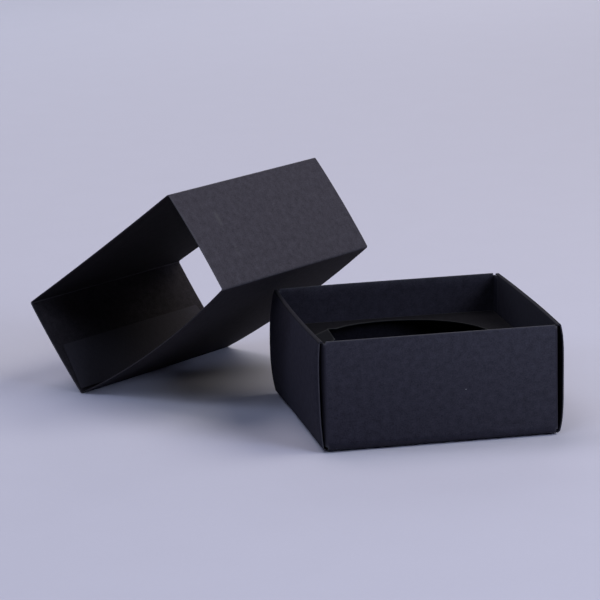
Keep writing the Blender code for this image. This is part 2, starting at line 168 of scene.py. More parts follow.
class InsertProperties(bpy.types.PropertyGroup):
    """The raised insert with its round hole and thumb tab."""

    top: length("Platform height", "Height of the platform's upper face", PLATFORM_BOX[1].z)
    half_width: length("Half width", "Half width of the platform", PLATFORM_BOX[1].x)
    half_depth: length("Half depth", "Half depth of the platform", PLATFORM_BOX[1].y)
    fold: length("Fold", "Outer radius of the folds to the legs", 0.0006)
    shoulder: length("Leg shoulder", "How much narrower than the platform a leg starts", 0.0006)
    taper: length("Leg taper", "How far each end of a leg is drawn in at its foot", 0.003)
    hole_radius: length("Hole radius", "Radius of the round hole", 0.034)
    hole_x: length("Hole across", "Place of the hole's centre across the box", -0.0025)
    hole_y: length("Hole deep", "Place of the hole's centre front to rear", 0.0030)
    thumb_length: length("Thumb tab length", "Length of the thumb tab from its crease", 0.0043)
    thumb_crease: length("Thumb tab crease", "Width of the thumb tab at its crease", 0.0142)
    thumb_tip: length("Thumb tab tip", "Width of the thumb tab at its tip", 0.0185)
    thumb_setback: length("Thumb tab setback", "How far its crease lies behind the rim", 0.0015)
    thumb_bearing: angle("Thumb tab bearing", "Bearing of the tab from the hole's centre", 140)
    thumb_bend: angle("Thumb tab bend", "How far the thumb tab is bent down", 70)
    rise: length("Platform rise", "How far the platform arches up round the hole", 0.0003)


class SleeveProperties(bpy.types.PropertyGroup):
    """The open-ended sleeve."""

    fold: length("Fold", "Outer radius of the four folds", 0.0008)
    near_sag: length("Sag, near end", "Sag of the lower panel at the near opening", 0.0030)
    far_sag: length("Sag, far end", "Sag of the lower panel at the far opening", 0.0018)
    swell: length("Swell", "How far a narrow panel swells outwards at its middle", 0.0005)
    sink: length("Sink", "How far the top panel sinks inwards at its middle", 0.0004)
    flap_width: length("Glue flap", "Width of the glue flap", 0.0196)
    flap_start: length("Glue flap start", "How far from the crease the glue flap starts", 0.0010)
    flap_inset: length("Glue flap inset", "How far the glue flap stays behind the openings", 0.0006)
    flap_taper: length("Glue flap taper", "How far each end of the glue flap is cut back", 0.0034)
    wave: length("Wave", "Unevenness of the wide and narrow panels", 0.00015)


class FinishProperties(bpy.types.PropertyGroup):
    """Colours and texture of the card, with darker copies of its colours as painted shade."""

    tray: colour("Tray card", "Colour of the tray's card, outside", (0.0440, 0.0430, 0.0560))
    # Painted shade: a darker copy of the tray's card for its faces inside the box.
    tray_inside: colour("Tray card inside", "Its colour inside", (0.0215, 0.0204, 0.0298))
    # Painted shade: the insert's card is made darker than the tray's, as shade in the tray's
    # recess, and darker still below.
    insert: colour("Insert card", "Colour of the insert's card, above", (0.0110, 0.0110, 0.0130))
    insert_inside: colour("Insert card below", "Its colour below", (0.0045, 0.0041, 0.0060))
    sleeve: colour("Sleeve card", "Colour of the sleeve's card, outside", (0.0486, 0.0451, 0.0565))
    # Painted shade: a darker copy of the sleeve's card for its faces inside the tube.
    sleeve_inside: colour("Sleeve card inside", "Its colour inside", (0.0300, 0.0268, 0.0315))
    roughness: share("Roughness", "Roughness of the card", 0.85)
    mottle: share("Mottle", "Strength of the cloudy tone of the card", 0.80)
    fibre: share("Fibres", "Strength of the pale fibres", 0.60)
    edge_wear: share("Edge wear", "How much paler a cut edge is", 0.55)
    crease_wear: share("Crease wear", "How much paler the crest of a fold is", 0.16)


class StageProperties(bpy.types.PropertyGroup):
    """Floor, light and camera."""

    floor: colour("Floor", "Colour of the floor", (0.50, 0.50, 0.61))
    floor_radius: length("Floor radius", "Radius of the round floor", 4.0)
    floor_ring: length("Floor ring", "Width of the floor's rings near the box", 0.004)
    floor_drop: length("Floor drop", "How far the floor dips under the tray", 0.0007)
    floor_touch: length("Floor touch", "How far from the sleeve's foot it stays level", 0.012)
    floor_slope: length("Floor slope", "Length over which the floor dips from there", 0.030)
    sky: colour("Background", "Colour of the background above the floor", (0.52, 0.52, 0.64))
    sky_share: share("Surrounding light", "Share of its light that falls on the box", 0.02)
    lamp_distance: length("Lamp distance", "Distance of each lamp from the box", 1.5)
    lens: number("Lens", "Focal length, in millimetres", 176.42)
    azimuth: angle("Azimuth", "Bearing of the camera from the front", -10.72)
    elevation: angle("Elevation", "Angle of the camera above the floor", 13.09)
    roll: angle("Roll", "Turn of the camera about its own axis", -1.61)
    distance: length("Distance", "Distance of the camera from its target", 1.1519)
    target: FloatVectorProperty(
        name="Target",
        description="The point that the camera looks at",
        default=(-0.02170, 0.10265, 0.020),
        subtype="TRANSLATION",
        unit="LENGTH",
    )


class BoxProperties(bpy.types.PropertyGroup):
    """All sizes and colours of the presentation box."""

    board: PointerProperty(type=BoardProperties)
    tray: PointerProperty(type=TrayProperties)
    insert: PointerProperty(type=InsertProperties)
    sleeve: PointerProperty(type=SleeveProperties)
    finish: PointerProperty(type=FinishProperties)
    stage: PointerProperty(type=StageProperties)


def settings():
    """The sizes and colours that the scene holds."""
    return bpy.context.scene.presentation_box


def held(value):
    """A value held between 0 and 1."""
    return min(1.0, max(0.0, value))


def eased(part):
    """A share from 0 to 1 that starts and ends gently."""
    return part * part * (3 - 2 * part)


def arched(part):
    """A low arch over a span: 0 at both its ends, 1 at its middle."""
    return 4 * part * (1 - part)


class Value:
    """A shader value: an expression on it adds the Math nodes that work it out."""

    def __init__(self, shading, output):
        self.shading = shading
        self.output = output

    def maths(self, operation, first, second):
        return self.shading.node("ShaderNodeMath", {"operation": operation}, {0: first, 1: second})

    def __add__(self, other):
        return self.maths("ADD", self, other)

    def __radd__(self, other):
        return self.maths("ADD", other, self)

    def __sub__(self, other):
        return self.maths("SUBTRACT", self, other)

    def __rsub__(self, other):
        return self.maths("SUBTRACT", other, self)

    def __mul__(self, other):
        return self.maths("MULTIPLY", self, other)

    def __rmul__(self, other):
        return self.maths("MULTIPLY", other, self)

    def __pow__(self, other):
        return self.maths("POWER", self, other)


class Shading:
    """The nodes of one material or world."""

    def __init__(self, owner):
        owner.use_nodes = True
        self.owner = owner
        self.tree = owner.node_tree
        self.tree.nodes.clear()

    def node(self, kind, options, inputs, output=0):
        """Adds a node of a kind, sets it up, then gives its sockets their values or links."""
        made = self.tree.nodes.new(kind)
        for name, option in options.items():
            setattr(made, name, option)
        for name, value in inputs.items():
            if isinstance(value, Value):
                self.tree.links.new(value.output, made.inputs[name])
            else:
                made.inputs[name].default_value = value
        return Value(self, made.outputs[output]) if made.outputs else made

    def mix(self, factor, first, second):
        """A colour between two colours."""
        colours = [tone if isinstance(tone, Value) else (*tone, 1.0) for tone in (first, second)]
        inputs = {0: factor, 6: colours[0], 7: colours[1]}
        return self.node("ShaderNodeMix", {"data_type": "RGBA"}, inputs, 2)

    def attribute(self, name, output="Fac"):
        """What each sheet of card stores in its points under a name."""
        return self.node("ShaderNodeAttribute", {"attribute_name": name}, {}, output)

    def band(self, value, low, high):
        """0 where a value is under low, 1 where it is over high, and smooth in between."""
        inputs = {"Value": value, "From Min": low, "From Max": high}
        return self.node("ShaderNodeMapRange", {"interpolation_type": "SMOOTHSTEP"}, inputs)

    def noise(self, place, scale, detail=2.0, roughness=0.5):
        """Cloudy noise whose features are about 1 / scale metres wide."""
        inputs = {"Vector": place, "Scale": scale, "Detail": detail, "Roughness": roughness}
        return self.node("ShaderNodeTexNoise", {"normalize": True}, inputs)

    def stretched(self, place, stretch, turn, centre=(0, 0, 0)):
        """A place seen from a centre, turned in the plane of the card, with its axes scaled."""
        inputs = {"Vector": place, "Location": centre, "Rotation": (0, 0, turn), "Scale": stretch}
        return self.node("ShaderNodeMapping", {"vector_type": "TEXTURE"}, inputs)

    def spot(self, place, centre, reach, turn):
        """1 at the middle of a soft oval mark, 0 outside it: its half sizes are reach."""
        inside = self.stretched(place, reach, math.radians(turn), centre)
        distance = self.node("ShaderNodeVectorMath", {"operation": "LENGTH"}, {0: inside}, "Value")
        return 1 - self.band(distance, SPOT_CORE, 1.0)


# Textures of the card. A noise is a scale, about 1 / the width of its features in metres, a detail
# and a roughness. A weight is how much it tells in the tone, and a band is where in the noise a
# feature begins and is full.
CLOUD, GRAIN, FINE = (420, 3.0, 0.6), (1900, 3.0, 0.65), (7000, 2.0, 0.6)
CLOUD_WEIGHT, GRAIN_WEIGHT, FINE_WEIGHT, FIBRE_WEIGHT = 1.4, 2.0, 0.8, 0.45
STREAKS = (1.0, 3.0, 0.6)
FIBRES = (
    # length, width and depth of a feature, turn in radians, band, weight beside each other
    ((1 / 3600, 1 / 420, 1 / 900), -0.35, (0.62, 0.80), 0.7),
    ((1 / 300, 1 / 4200, 1 / 900), 0.15, (0.60, 0.78), 1.0),
)
DUST_SCALE, DUST_BAND, DUST_SHARE = 160, (0.010, 0.022), 0.55
DUST_PATCHES, DUST_PATCH_BAND = (60, 1.0), (0.56, 0.60)
DUST_TONE, WORN_TONE = (3.5, 0.06), (1.0, 0.05)  # factor on the card's own colour, and lift
TONE_SWING = 0.38  # how far the tone goes to either side of the card's own colour
TONE_MIDDLE = 0.46  # where the plain card lies between its darkest and its palest tone
SPOT_CORE = 0.25  # share of a mark's half sizes over which it has its full strength
RELIEF, RELIEF_HEIGHT = 0.22, 0.00003
GRAIN_RELIEF, FINE_RELIEF, FIBRE_RELIEF = 0.5, 0.5, 0.6
GRAIN_ROUGHNESS, WORN_POLISH = 0.16, 0.10  # what the grain adds to the roughness, and wear takes
# How a texture breaks up wear: the least that is left, and what the texture adds
CREASE_BREAK, CUT_BREAK, MARK_BREAK = (0.55, 0.9), (0.7, 0.6), (0.4, 1.2)


def broken(texture, least, added):
    """A factor for wear, about 1, that follows a texture."""
    return least + added * texture


def make_card(name, outside, inside, marks):
    """Black card, dyed through: clouded by its fibres, paler on cut edges and crests of folds, and
    darkened as painted shade towards a shaded copy of its colour and on to black.
    """
    finish = settings().finish
    card = Shading(bpy.data.materials.new(name))
    place = card.attribute("blank", "Vector")
    cut, fold, within = (card.attribute(stored) for stored in ("cut", "fold", "within"))

    cloud, grain, fine = (card.noise(place, *noise) for noise in (CLOUD, GRAIN, FINE))
    fibres = 0.0
    for size, turn, band, weight in FIBRES:
        streaks = card.noise(card.stretched(place, size, turn), *STREAKS)
        fibres = weight * card.band(streaks, *band) + fibres
    cells = {"Vector": place, "Scale": DUST_SCALE, "Randomness": 1.0}
    specks = card.node("ShaderNodeTexVoronoi", {"feature": "F1"}, cells)
    patches = card.noise(place, *DUST_PATCHES)
    dust = (1 - card.band(specks, *DUST_BAND)) * card.band(patches, *DUST_PATCH_BAND)

    light = (cloud - 0.5) * (CLOUD_WEIGHT * finish.mottle)
    light = light + (grain - 0.5) * (GRAIN_WEIGHT * finish.mottle)
    light = light + (fine - 0.5) * (FINE_WEIGHT * finish.mottle)
    light = light + fibres * (FIBRE_WEIGHT * finish.fibre)
    creased = fold**1.5 * finish.crease_wear * broken(grain, *CREASE_BREAK)
    worn = cut**3 * finish.edge_wear + creased
    # Painted shade: the stored share mixes the card's own colour towards its darker shaded copy.
    dark, pale = (
        card.mix(within, scaled(outside, factor), scaled(inside, factor))
        for factor in (1 - TONE_SWING, 1 + TONE_SWING)
    )
    # Painted shade: a share over 1 goes on from the shaded copy towards black, deep inside.
    face = card.mix(light + TONE_MIDDLE, dark, card.mix(within - 1, pale, (0, 0, 0)))
    rubbed = card.mix(worn * broken(fine, *CUT_BREAK), face, scaled(outside, *WORN_TONE))
    base = card.mix(dust * DUST_SHARE, rubbed, scaled(outside, *DUST_TONE))
    for centre, reach, turn, strength, tone in marks:
        spot = card.spot(place, centre, reach, turn) * strength
        base = card.mix(spot * broken(grain, *MARK_BREAK), base, (tone, tone, tone))
    height = grain * GRAIN_RELIEF + fine * FINE_RELIEF + fibres * FIBRE_RELIEF
    bump = {"Strength": RELIEF, "Distance": RELIEF_HEIGHT, "Height": height}
    surface = {
        "Base Color": base,
        "Roughness": finish.roughness + (grain - 0.5) * GRAIN_ROUGHNESS - worn * WORN_POLISH,
        "Normal": card.node("ShaderNodeBump", {}, bump),
        "IOR": 1.42,
        "Specular IOR Level": 0.05,
    }
    shader = card.node("ShaderNodeBsdfPrincipled", {}, surface)
    card.node("ShaderNodeOutputMaterial", {}, {"Surface": shader})
    return card.owner


MARKS = {
    # place in the blank, half sizes, turn in degrees, strength, tone
    "tray_card": (((0.00848, 0.01909, 0), (0.00022, 0.00016, 0.001), 20, 0.9, 0.5),),
    "sleeve_card": (
        ((1.0257, 9.0168, 0), (0.0044, 0.0016, 0.001), 4, 0.16, 0.14),
        ((1.0120, 9.0172, 0), (0.0050, 0.0012, 0.001), 2, 0.07, 0.14),
    ),
}


def card_of(slot):
    """The card of a material slot, made when it is first asked for."""
    tones = settings().finish
    blank = slot.split("_")[0]
    outside, inside = tuple(getattr(tones, blank)), tuple(getattr(tones, f"{blank}_inside"))
    made = bpy.data.materials.get(f"{slot}_finish")
    return made or make_card(f"{slot}_finish", outside, inside, MARKS.get(slot, ()))


def scaled(tone, factor, lift=0.0):
    """A colour made brighter or darker, as red, green and blue."""
    return tuple(factor * channel + lift for channel in tone)


def add_object(name, data):
    """A new object in the scene, from its mesh, lamp or camera."""
    made = bpy.data.objects.new(name, data)
    bpy.context.scene.collection.objects.link(made)
    return made


SAME_PLACE, ROUNDING = 1e-6, 1e-7  # metres
NEAR_CUT = (0.15, 0.45, 1.0)  # where the grid is closer at a cut edge, in shares of the worn width
CREST_WIDTH = 1.2  # how far the crest of a fold reaches, in thicknesses of card
BACK_SHIFT = 20  # how far the textures of a sheet's two faces lie apart, in thicknesses of card
SHARP_ANGLE = math.radians(50)


class Path:
    """A strip of card seen on edge: the runs and folds of its outer face, by length along it."""

    def __init__(self, start, heading):
        self.parts = []
        self.folds = []
        self.end = Vector(start)
        self.heading = heading
        self.length = 0.0

    def _add(self, distance, turn):
        self.parts.append((self.length, self.end.copy(), self.heading, turn / distance))
        self.end = self.at(self.length + distance)
        self.heading += turn
        self.length += distance
        return self.length

    def run(self, distance):
        """Goes straight on, and returns the length walked so far."""
        return self._add(distance, 0.0)

    def fold(self, radius, turn):
        """Turns by an angle round a fold, and returns the length walked so far."""
        self.folds.append(self.length + radius * abs(turn) / 2)
        return self._add(radius * abs(turn), turn)

    def at(self, distance):
        """The point at a length along the path."""
        start, point, heading, bend = next(
            part for part in reversed(self.parts) if part[0] <= distance or part is self.parts[0]
        )
        gone = distance - start
        if bend == 0.0:
            return point + Vector((math.cos(heading), math.sin(heading))) * gone
        turned = heading + bend * gone
        across = math.sin(turned) - math.sin(heading), math.cos(heading) - math.cos(turned)
        return point + Vector(across) / bend

    def steps(self, start, end, also=()):
        """Lengths to make a sheet's grid at, from start to end: close together round the folds."""
        board = settings().board
        found = [start, end, *also]
        ends = [part[0] for part in self.parts[1:]] + [self.length]
        for (low, _, _, bend), high in zip(self.parts, ends):
            count = board.fold_steps if bend else math.ceil((high - low) / board.cell)
            found += [low + (high - low) * step / count for step in range(count + 1)]
        return tidy(found, start, end)

    def crest(self, distance):
        """How near a place on the path is to the crest of a fold, from 0 to 1."""
        width = CREST_WIDTH * settings().board.thickness
        near = [math.exp(-(((distance - fold) / width) ** 2)) for fold in self.folds]
        return max(near, default=0.0)


def tidy(values, low, high):
    """Values in order, each once, from low to high."""
    kept = []
    for value in sorted(values):
        inside = low - ROUNDING <= value <= high + ROUNDING
        if inside and (not kept or value - kept[-1] > SAME_PLACE):
            kept.append(value)
    return kept


def near_cut(edge, inwards):
    """Values close to a cut edge: inwards is 1 where the card lies above it, -1 below."""
    return [edge + inwards * near * settings().board.worn_width for near in NEAR_CUT]


def spread(low, high, also=(), cut_ends=(True, True)):
    """Evenly spaced values from low to high, with closer ones where the card is cut."""
    count = math.ceil((high - low) / settings().board.cell)
    values = [low + (high - low) * step / count for step in range(count + 1)]
    values += near_cut(low, 1) * cut_ends[0] + near_cut(high, -1) * cut_ends[1]
    return tidy([*values, *also], low, high)


def make_sheet(
    name, columns, rows, place, facing,
    joined=(), keep=None, crest=None, origin=(0, 0), within=(0, 1), wear=1.0, ridge=1.0,
):
    """A sheet of card from a grid of points on the face that looks the way of facing.

    Its name starts with its blank, whose card it is. place(column, row) gives a point.
    keep(column, row) says of a cell whether the card is there. joined gives the columns where the
    card runs on into the next panel, or joined(column, row) says so of a border: any other border
    is a cut edge, rounded and worn. crest(column, row) says how near a point is to the crest of
    a fold, where creasing raises a bead on the back. origin is the sheet's place in its blank.
    within says how far its face and its back have the darker tone of the inside: from 0 to 1, or
    within, its painted shade, is given for its face and its back: 0 is the card's own colour, 1 a
    darker shaded copy of it, and up to 2 goes on to black deep inside. wear is how much of the wear
    of a cut edge this sheet has. ridge is how much more the crest of a fold is raised and worn on
    the back.
    """
    board = settings().board
    sheet = bmesh.new()
    cut = sheet.verts.layers.float.new("cut")
    fold = sheet.verts.layers.float.new("fold")
    blank = sheet.verts.layers.float_vector.new("blank")
    # Painted shade: how far each point is darkened towards the shaded copy of its card.
    inner = sheet.verts.layers.float.new("within")
    face_shade, back_shade = (
        tone if callable(tone) else lambda column, row, tone=tone: tone for tone in within
    )
    cells = {}
    grid = []
    for column in columns:
        line = []
        for row in rows:
            vert = sheet.verts.new(place(column, row))
            vert[fold] = crest(column, row) if crest else 0.0
            vert[blank] = (column + origin[0], row + origin[1], 0.0)
            vert[inner] = face_shade(column, row)
            cells[vert] = (column, row)
            line.append(vert)
        grid.append(line)
    for i, j in ((i, j) for i in range(len(columns) - 1) for j in range(len(rows) - 1)):
        middle = (columns[i] + columns[i + 1]) / 2, (rows[j] + rows[j + 1]) / 2
        if keep is None or keep(*middle):
            sheet.faces.new([grid[i][j], grid[i + 1][j], grid[i + 1][j + 1], grid[i][j + 1]])
    bmesh.ops.delete(sheet, geom=[v for v in sheet.verts if not v.link_faces], context="VERTS")
    sheet.normal_update()
    looks = sum((face.normal * face.calc_area() for face in sheet.faces), Vector())
    if looks.dot(Vector(facing)) < 0:
        bmesh.ops.reverse_faces(sheet, faces=sheet.faces[:])
        sheet.normal_update()

    border = [edge for edge in sheet.edges if edge.is_boundary]
    cut_edges = []
    for edge in border:
        (c0, r0), (c1, r1) = (cells[vert] for vert in edge.verts)
        middle = (c0 + c1) / 2, (r0 + r1) / 2
        if not (joined(*middle) if callable(joined) else middle[0] in joined):
            cut_edges.append(edge)
    wear_from_cuts(sheet, cut_edges, cut, wear)

    front = sheet.faces[:]
    rim = [(loop.vert, loop.link_loop_next.vert) for edge in border for loop in edge.link_loops]
    cut_pairs = [tuple(edge.verts) for edge in cut_edges]
    offsets = {
        v: v.normal * (v.calc_shell_factor() * (board.thickness + board.bead * ridge * v[fold]))
        for v in sheet.verts
    }
    back = {v: sheet.verts.new(v.co - offset, v) for v, offset in offsets.items()}
    for ahead, behind in back.items():
        behind[blank] = (behind[blank].x, behind[blank].y, BACK_SHIFT * board.thickness)
        behind[inner] = back_shade(*cells[ahead])
        behind[fold] *= ridge
    for face in front:
        sheet.faces.new([back[v] for v in reversed(face.verts)])
    for first, second in rim:
        sheet.faces.new([second, first, back[first], back[second]])
    rounded = [sheet.edges.get(pair) for pair in cut_pairs]
    rounded += [sheet.edges.get((back[first], back[second])) for first, second in cut_pairs]
    bmesh.ops.bevel(
        sheet, geom=rounded, offset=board.edge_round, segments=2, profile=0.5, affect="EDGES"
    )

    slot = name.split("_")[0] + "_card"
    mesh = bpy.data.meshes.new(f"{name}_card")
    sheet.to_mesh(mesh)
    sheet.free()
    mesh.shade_smooth()
    mesh.set_sharp_from_angle(angle=SHARP_ANGLE)
    mesh.materials.append(card_of(slot))
    piece = add_object(f"{name}_card", mesh)
    return piece


def wear_from_cuts(sheet, cut_edges, layer, wear):
    """Stores how worn each point is: full on a cut edge, fading to 0 over the worn width."""
    reach = settings().board.worn_width
    ends = list({vert for edge in cut_edges for vert in edge.verts})
    tree = KDTree(len(ends))
    for index, vert in enumerate(ends):
        tree.insert(vert.co, index)
    tree.balance()
    for vert in sheet.verts:
        distance = tree.find(vert.co)[2] if ends else reach
        vert[layer] = wear * max(0.0, 1 - distance / reach)


def make_panel(node, body, *grid, **more):
    """Makes the sheet that stands for one of the model's own panels, riding on its body."""
    stand_for(make_sheet(node, *grid, **more), node, body)


def stand_for(piece, node, body):
    """Lets a finished piece ride on a body, in the place of one of the model's own nodes."""
    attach(piece, body)
    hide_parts(node)


def bend_piece(piece, joint_name, start_points, end_points):
    """Fixes a strip of card in place where it lies between two panels, from border to border."""
    start, end = (sum(points, Vector()) / len(points) for points in (start_points, end_points))
    way = (end - start).normalized()
    first = max((point - start).dot(way) for point in start_points)
    last = min((point - start).dot(way) for point in end_points)
    start + way * first
    start + way * last
    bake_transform(piece)


def turned(point, turn):
    """A point of the front or right side, turned about the upright axis to its own side."""
    return Matrix.Rotation(turn, 3, "Z") @ Vector(point)


def tray_point(point, turn):
    """A point of the tray's front or right, on its own side, with the rear right corner's rise."""
    tray = settings().tray
    x, y, z = turned(point, turn)
    from_left = held((x + tray.half_front) / tray.rear_reach)
    from_front = max(0.0, 1 - (tray.depth / 2 - y) / tray.rear_reach)
    rise = tray.rear_rise * from_left * (2 - from_left) * from_front
    return Vector((x, y, z * (1 + rise / tray.height)))


def half_width():
    """Half the tray's width at its foot: an end fold, its inset, and the layer of card outside."""
    board, tray = settings().board, settings().tray
    return tray.half_front + tray.inset + board.thickness + board.layer_gap


def inner_face():
    """Half the clear width between the two side walls."""
    board = settings().board
    return half_width() - 3 * board.thickness - 2 * board.layer_gap


def side_bow(y, z):
    """How far a side wall stands out: most at the middle of its rim, nothing at its foot."""
    tray = settings().tray
    at_rim = tray.lean + tray.bow * (1 - (2 * y / tray.depth) ** 2)
    return at_rim * z / tray.height


def side_half_length():
    """Half the length of the outer panel of a side wall."""
    board = settings().board
    return settings().tray.depth / 2 - board.thickness - board.seat_gap


def side_bulge(z, fullness):
    """How far the outer panel of a side wall swells off the inner one at a height."""
    tray = settings().tray
    part = (z - tray.bottom_fold) / (tray.height - tray.rim_fold - tray.bottom_fold)
    return tray.bulge * (1 - abs(2 * part - 1) ** fullness) if 0 < part < 1 else 0.0


def left_flare(y, z):
    """How far the left outer panel stands out towards the rear of its foot."""
    tray = settings().tray
    back = (y + tray.depth / 2) / tray.depth
    return tray.flare * back**2 * (1 - (z / tray.height) ** 2)


def lock_tab_ends(clearance=0.0):
    """The y of both sides of each lock tab or, with a clearance, of each notch for one."""
    tray = settings().tray
    reach = tray.lock_width / 2 + clearance
    return [side * tray.lock_spacing / 2 + end * reach for side in (-1, 1) for end in (-1, 1)]


def in_lock_tab(y, clearance=0.0):
    """Whether a y lies in a lock tab or, with a clearance, in a notch for one."""
    tray = settings().tray
    return abs(abs(y) - tray.lock_spacing / 2) < tray.lock_width / 2 + clearance


COLUMN_WAVES, COLUMN_START, ROW_WAVES = 5.1, 1.3, 3.7  # radians over a panel
WAVE_SHARE = 0.3  # share of a panel's swell that goes in waves


def swell(column_share, row_share):
    """A soft unevenness over a panel, nothing at its borders and at most about 1."""
    body = math.sin(math.pi * column_share) * math.sin(math.pi * row_share)
    waves = math.sin(COLUMN_WAVES * column_share + COLUMN_START) * math.cos(ROW_WAVES * row_share)
    return body * (1 - WAVE_SHARE + WAVE_SHARE * waves)


class MakeTrayBase(bpy.types.Operator):
    """Makes the floor of the tray, notched for the lock tabs"""

    bl_idname = "presentation_box.make_tray_base"
    bl_label = "Tray floor"

    def execute(self, context):
        board, tray = settings().board, settings().tray
        notch = inner_face() - board.seat_gap
        side = half_width() - tray.bottom_fold
        end = tray.depth / 2 - tray.bottom_fold

        def place(x, y):
            flared = max(0.0, (-x - notch) / (side - notch))
            return (x - left_flare(y, 0) * flared, y, 0)

        make_panel(
            "tray_base",
            "tray",
            spread(-side, side, (-notch, notch), (False, False)),
            spread(-end, end, lock_tab_ends(board.seat_gap), (False, False)),
            place,
            (0, 0, -1),
            joined=lambda x, y: abs(x) == side or abs(y) == end,
            keep=lambda x, y: abs(x) < notch or not in_lock_tab(y, board.seat_gap),
            # Painted shade: the floor's underside is darkened half way to the shaded copy, its
            # upper face inside the tray nearly black.
            within=(0.5, 1.85),
        )
        return {"FINISHED"}


# Painted shade on the end walls, as shares: 0 is the colour of the card's outside, 1 the shaded
# colour of its inside, and 2 is black
WALL_SHADE, WALL_FOOT_SHADE, WALL_SIDE_SHADE = 0.42, 0.55, 0.22
WALL_FOOT_FOLD_SHADE, WALL_FOOT_FOLD_REACH = 0.7, 2.2  # the reach is in lengths of the fold at its foot
WALL_INSIDE_SHADE, WALL_LOW_SHADE = 1.05, 1.8  # above the platform and below it
# Painted highlight on the inside face just under the rim, and how far down it reaches
WALL_RIM_HIGHLIGHT, WALL_RIM_HIGHLIGHT_REACH = 0.9, 0.004  # the reach is in metres
WALL_DISH_SHARE = 0.8  # share of the dish's waves that fits in the height of an end wall
TAB_CREST = 0.3  # share of a fold's wear that shows at the ends of an end wall
TAB_ROWS = 20


class MakeEndWalls(bpy.types.Operator):
    """Makes the front and rear walls, with the corner tabs that they send into the side walls"""

    bl_idname = "presentation_box.make_end_walls"
    bl_label = "End walls and corner tabs"

    def execute(self, context):
        for end_name, turn in (("front", 0.0), ("rear", math.pi)):
            self.make_wall(end_name, turn)
            for side_name, side in (("left", -1), ("right", 1)):
                self.make_tab(end_name, side_name, side if end_name == "front" else -side, turn)
        return {"FINISHED"}

    def make_wall(self, end_name, turn):
        board, tray = settings().board, settings().tray
        corner = tray.half_front - tray.end_fold
        rise = Path((tray.bottom_fold, 0), math.pi)
        foot = rise.fold(tray.bottom_fold, -math.pi / 2)
        head = rise.run(tray.height - tray.bottom_fold)
        tab_foot = foot + tray.fold_relief
        tab_head = head - board.thickness - board.seat_gap

        def place(x, along):
            inset, z = rise.at(along)
            up = max(0.0, (along - foot) / (head - foot))
            dish = tray.dish * swell((x + corner) / 2 / corner, up * WALL_DISH_SHARE)
            return tray_point((x, -tray.depth / 2 + inset + dish, z), turn)

        def outside_shade(x, along):
            """Painted shade: darker towards the foot and the left, and darkest in the fold at the
            foot.
            """
            low, right = 1 - along / head, 1 + x / corner
            tone = WALL_SHADE + WALL_FOOT_SHADE * low - WALL_SIDE_SHADE * right
            return tone + WALL_FOOT_FOLD_SHADE * max(0.0, 1 - along / (WALL_FOOT_FOLD_REACH * foot))

        def inside_shade(_, along):
            """Painted highlight close to the rim, and painted shade inside, nearly black below the
            platform.
            """
            if along <= settings().insert.top:
                return WALL_LOW_SHADE
            near_rim = max(0.0, 1 - (head - along) / WALL_RIM_HIGHLIGHT_REACH)
            return WALL_INSIDE_SHADE - WALL_RIM_HIGHLIGHT * near_rim**2

        make_panel(
            f"tray_{end_name}_wall",
            "tray",
            spread(-corner, corner),
            rise.steps(0.0, head, (tab_foot, tab_head, *near_cut(head, -1))),
            place,
            turned((0, -1, 0), turn),
            joined=lambda x, along: (
                along == 0 or (abs(x) == corner and tab_foot < along < tab_head)
            ),
            crest=lambda x, along: rise.crest(along),
            origin=(turn, 0),
            within=(outside_shade, inside_shade),
        )

    def make_tab(self, end_name, side_name, side, turn):
        board, tray = settings().board, settings().tray
        plan = Path((tray.half_front - tray.end_fold, 0), 0.0)
        folded = plan.fold(tray.end_fold, math.pi / 2)
        tip = plan.run(board.crease_gap + tray.tab_length)
        foot = tray.bottom_fold + tray.fold_relief
        head = tray.height - board.thickness - board.seat_gap
        pocket = side_half_length() - tray.end_room + board.seat_gap
        bend_length = tray.depth / 2 - tray.end_fold - pocket

        def place(along, height_share):
            x, inset = plan.at(along)
            y = -tray.depth / 2 + inset
            run = max(0.0, (along - folded) / (tip - folded))
            low = foot + tray.tab_rise * run
            high = head - tray.tab_fall * run
            z = low + (high - low) * height_share
            part = held((along - folded) / bend_length)
            out = eased(part) * (tray.inset + side_bow(y, z))
            return tray_point((side * (x + out), y, z), turn)

        make_panel(
            f"tray_{end_name}_{side_name}_corner_tab",
            "tray",
            plan.steps(0.0, tip),
            [step / TAB_ROWS for step in range(TAB_ROWS + 1)],
            place,
            turned((side, 0, 0), turn),
            joined=(0,),
            crest=lambda along, height_share: TAB_CREST * plan.crest(along),
            origin=(side + turn, 1),
            # Painted shade: the corner tab's face is darkened most of the way to the shaded copy.
            within=(0.8, 1),
        )


